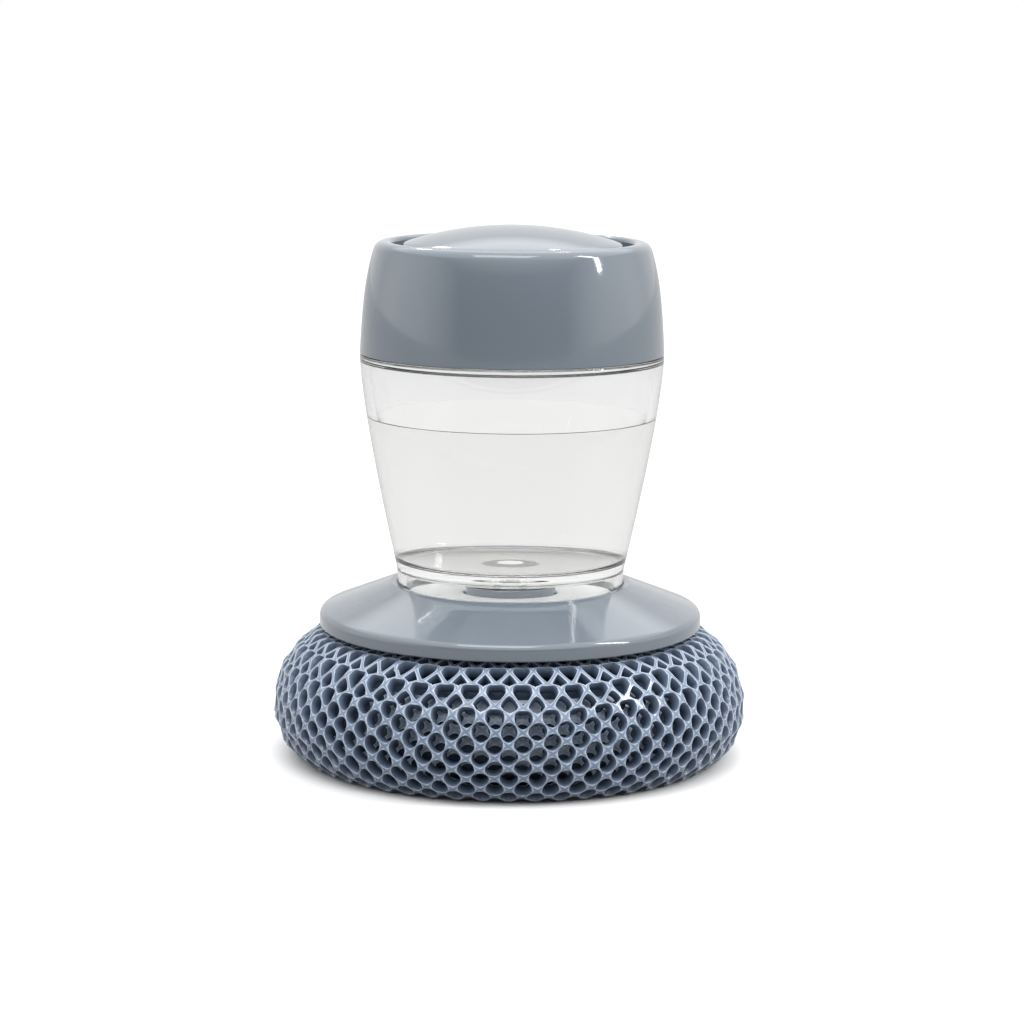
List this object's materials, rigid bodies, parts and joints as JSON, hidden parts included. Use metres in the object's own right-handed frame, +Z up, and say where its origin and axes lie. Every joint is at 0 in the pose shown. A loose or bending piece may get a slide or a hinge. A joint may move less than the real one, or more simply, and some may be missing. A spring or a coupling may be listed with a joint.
{
  "type": "soap dispensing palm brush",
  "caption": "Palm scrubbing brush with a press button and cap, a clear soap reservoir, a sloping base flange and a screw-on round head covered in stretched net.",
  "frame": {"origin": "centre of the scrubbing pad's flat underside", "axes": "+Z up along the axis of every turned piece, towards the button; -Y towards the picture's camera"},
  "size_m": [0.084, 0.0838, 0.0941],
  "materials": {
    "grey_plastic": "glossy blue-grey",
    "clear_plastic": "clear",
    "white_plastic": "satin",
    "silicone": "matte, milky",
    "steel": "bright",
    "blue_net": "glossy blue-grey strands",
    "inner_net": "dark blue strands",
    "foam": "matte"
  },
  "bodies": {
    "base": {"reservoir": "clear_plastic", "reservoir_seal": "silicone", "lock_nut": "white_plastic", "outlet_valve": "silicone", "valve_retainer": "white_plastic", "base_flange": "grey_plastic", "socket_plate": "white_plastic", "base_screw_1": "steel", "base_screw_2": "steel", "base_screw_3": "steel", "base_screw_4": "steel"},
    "cap_lift": {"cap_gasket": "silicone"},
    "cap": {"cap_shell": "grey_plastic", "pump_plate": "white_plastic", "air_valve": "silicone", "pump_bellows": "silicone", "bellows_ring": "white_plastic", "button_spring": "steel"},
    "button": {"press_button": "grey_plastic"},
    "head_lift": {"head_seal": "silicone"},
    "head": {"head_carrier": "white_plastic", "clamp_ring": "white_plastic", "scrub_net": "blue_net", "inner_net": "inner_net", "scrub_core": "foam", "net_tie": "white_plastic"}
  },
  "joints": [
    {"name": "cap_rise", "type": "slide", "parent": "base", "child": "cap_lift", "axis": [0, 0, 1], "range_m": [0, 0.00801]},
    {"name": "cap_turn", "type": "hinge", "parent": "cap_lift", "child": "cap", "pos_m": [0, 0, 0.07175], "axis": [0, 0, 1], "range_deg": [0, 480]},
    {"name": "button_press", "type": "slide", "parent": "cap", "child": "button", "axis": [0, 0, -1], "range_m": [0, 0.0035], "stiffness_N_per_m": 300, "springref_m": -0.004, "deforming": ["button_spring", "pump_bellows"]},
    {"name": "head_drop", "type": "slide", "parent": "base", "child": "head_lift", "axis": [0, 0, -1], "range_m": [0, 0.00901]},
    {"name": "head_turn", "type": "hinge", "parent": "head_lift", "child": "head", "pos_m": [0, 0, 0.0255], "axis": [0, 0, -1], "range_deg": [0, 540]}
  ],
  "couplings": [
    {"joint": "cap_rise", "follows": "cap_turn", "m_per_rad": 0.00095493},
    {"joint": "head_drop", "follows": "head_turn", "m_per_rad": 0.00095493}
  ]
}
